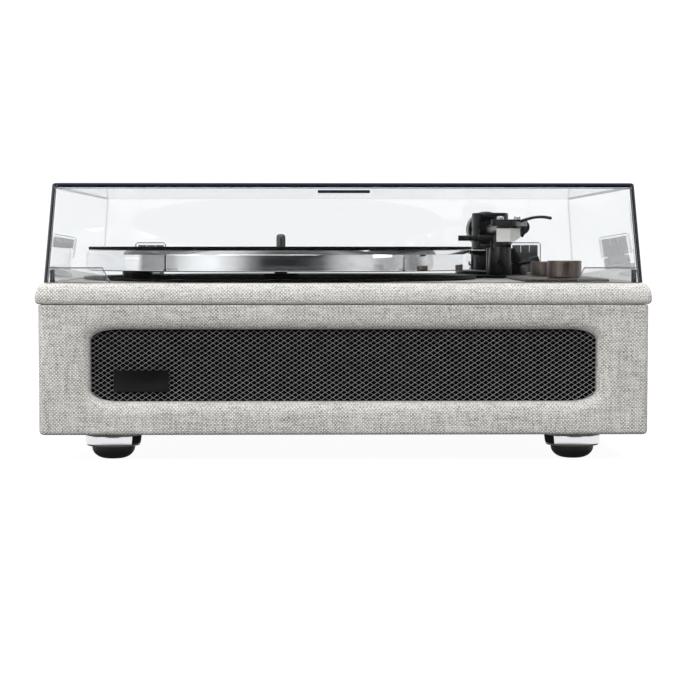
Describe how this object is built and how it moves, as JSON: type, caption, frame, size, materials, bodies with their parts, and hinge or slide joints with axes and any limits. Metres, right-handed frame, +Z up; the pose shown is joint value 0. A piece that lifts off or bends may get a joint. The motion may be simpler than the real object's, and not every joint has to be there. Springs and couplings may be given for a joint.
{
  "type": "record player",
  "caption": "Cloth-covered record player with a front grille, belt-driven platter, tonearm, knobs and a hinged clear dust cover.",
  "frame": {"origin": "on the floor under the middle of the cabinet's bounding box", "axes": "+X to the right seen from the front, +Y to the back, +Z up"},
  "size_m": [0.424, 0.354, 0.1937],
  "materials": {
    "cabinet_cloth": "coarse warm-grey weave glued over board",
    "lid_cloth": "coarse warm-grey weave glued over board",
    "deck_gloss": "gloss black",
    "baffle_board": "black stained board",
    "grille_metal": "satin black expanded steel",
    "badge": "bare black plate",
    "speaker": "coated paper cone and black frame",
    "black_plastic": "moulded black",
    "rocker": "moulded black",
    "brass": "turned",
    "circuit": "lacquered board",
    "chrome": "polished",
    "foot_rubber": "moulded",
    "steel": "ground",
    "platter_aluminium": "fine turned with a polished rim",
    "mat_rubber": "matt",
    "belt_rubber": "ground",
    "bronze": "brushed, bronze anodised",
    "arm_black": "satin black",
    "arm_tube": "satin grey",
    "cartridge_cream": "moulded cream",
    "clear_acrylic": "clear, slightly smoky acrylic"
  },
  "bodies": {
    "root": {"cabinet_shell": "cabinet_cloth", "lid_slab": "lid_cloth", "deck_plate": "deck_gloss", "speaker_baffle": "baffle_board", "speaker_grille": "grille_metal", "badge_plate": "badge", "speaker_left": "speaker", "speaker_right": "speaker", "rear_panel": "black_plastic", "signal_sockets": "brass", "power_inlet": "black_plastic", "power_switch": "black_plastic", "amplifier_board": "circuit", "foot_ring_front_left": "chrome", "foot_ring_front_right": "chrome", "foot_ring_rear_left": "chrome", "foot_ring_rear_right": "chrome", "foot_pad_front_left": "foot_rubber", "foot_pad_front_right": "foot_rubber", "foot_pad_rear_left": "foot_rubber", "foot_pad_rear_right": "foot_rubber", "bearing_housing": "brass", "motor": "black_plastic", "drive_belt": "belt_rubber", "control_plate": "bronze", "volume_control": "steel", "selector_control": "steel", "arm_base": "arm_black", "arm_rest": "arm_black", "cue_housing": "arm_black", "hinge_base_left": "black_plastic", "hinge_base_right": "black_plastic"},
    "cover": {"dust_cover": "clear_acrylic", "cover_bumper_left": "foot_rubber", "cover_bumper_right": "foot_rubber", "hinge_leaf_left": "black_plastic", "hinge_leaf_right": "black_plastic"},
    "platter_group": {"platter": "platter_aluminium", "platter_mat": "mat_rubber", "spindle": "steel"},
    "pulley": {"motor_pulley": "brass"},
    "yoke": {"arm_yoke": "arm_black", "gimbal_pin": "steel"},
    "arm": {"gimbal_hub": "arm_black", "arm_tube": "arm_tube", "headshell": "arm_black", "cartridge": "cartridge_cream", "stylus": "black_plastic", "finger_lift": "arm_black"},
    "weight": {"counterweight": "arm_black"},
    "dial": {"force_dial": "arm_black"},
    "anti_skate": {"anti_skate_dial": "arm_black"},
    "lever": {"cue_lever": "arm_black"},
    "platform": {"cue_platform": "arm_black"},
    "clip": {"arm_clip": "arm_black"},
    "volume": {"volume_knob": "bronze"},
    "selector": {"selector_knob": "bronze"},
    "rocker": {"power_rocker": "rocker"},
    "stop": {"auto_stop_button": "arm_black"}
  },
  "joints": [
    {"name": "cover_hinge", "type": "hinge", "parent": "root", "child": "cover", "pos_m": [0, 0.1684, 0.1306], "axis": [-1, 0, 0], "range_deg": [0, 62]},
    {"name": "platter_spin", "type": "hinge", "parent": "root", "child": "platter_group", "pos_m": [-0.0467, -0.004, 0.139], "axis": [0, 0, -1], "continuous": true},
    {"name": "pulley_spin", "type": "hinge", "parent": "root", "child": "pulley", "pos_m": [-0.154, -0.047, 0.136], "axis": [0, 0, -1], "continuous": true},
    {"name": "arm_swing", "type": "hinge", "parent": "root", "child": "yoke", "pos_m": [0.127, 0.108, 0.164], "axis": [0, 0, -1], "range_deg": [0, 42]},
    {"name": "arm_lift", "type": "hinge", "parent": "yoke", "child": "arm", "pos_m": [0.127, 0.108, 0.164], "axis": [-0.9995, -0.0314, 0], "range_deg": [0, 2.75]},
    {"name": "counterweight_turn", "type": "hinge", "parent": "arm", "child": "weight", "pos_m": [0.127, 0.108, 0.164], "axis": [-0.0314, 0.9995, 0], "range_deg": [-180, 180]},
    {"name": "force_dial_turn", "type": "hinge", "parent": "arm", "child": "dial", "pos_m": [0.127, 0.108, 0.164], "axis": [-0.0314, 0.9995, 0], "range_deg": [0, 300]},
    {"name": "anti_skate_turn", "type": "hinge", "parent": "root", "child": "anti_skate", "pos_m": [0.14658, 0.09887, 0.1298], "axis": [0, 0, -1], "range_deg": [0, 270]},
    {"name": "cue_lever_turn", "type": "hinge", "parent": "root", "child": "lever", "pos_m": [0.14098, 0.06603, 0.134], "axis": [0, -1, 0], "range_deg": [0, 45]},
    {"name": "cue_platform_lift", "type": "slide", "parent": "root", "child": "platform", "axis": [0, 0, 1], "range_m": [0, 0.00201]},
    {"name": "arm_clip_turn", "type": "hinge", "parent": "root", "child": "clip", "pos_m": [0.13625, 0.04146, 0.1686], "axis": [0.0314, -0.9995, 0], "range_deg": [0, 215]},
    {"name": "volume_turn", "type": "hinge", "parent": "root", "child": "volume", "pos_m": [0.16, -0.11, 0.1272], "axis": [0, 0, -1], "range_deg": [0, 300]},
    {"name": "selector_turn", "type": "hinge", "parent": "root", "child": "selector", "pos_m": [0.16, -0.01, 0.1272], "axis": [0, 0, -1], "range_deg": [0, 90]},
    {"name": "rocker_tilt", "type": "hinge", "parent": "root", "child": "rocker", "pos_m": [-0.045, 0.165, 0.0677], "axis": [-1, 0, 0], "range_deg": [0, 16]},
    {"name": "stop_press", "type": "slide", "parent": "root", "child": "stop", "axis": [0, 0, -1], "range_m": [0, 0.0012], "stiffness_N_per_m": 150}
  ],
  "couplings": [
    {"joint": "pulley_spin", "follows": "platter_spin", "ratio": 15},
    {"joint": "cue_platform_lift", "follows": "cue_lever_turn", "m_per_rad": 0.0025465},
    {"joint": "arm_lift", "follows": "cue_lever_turn", "ratio": 0.06066}
  ]
}
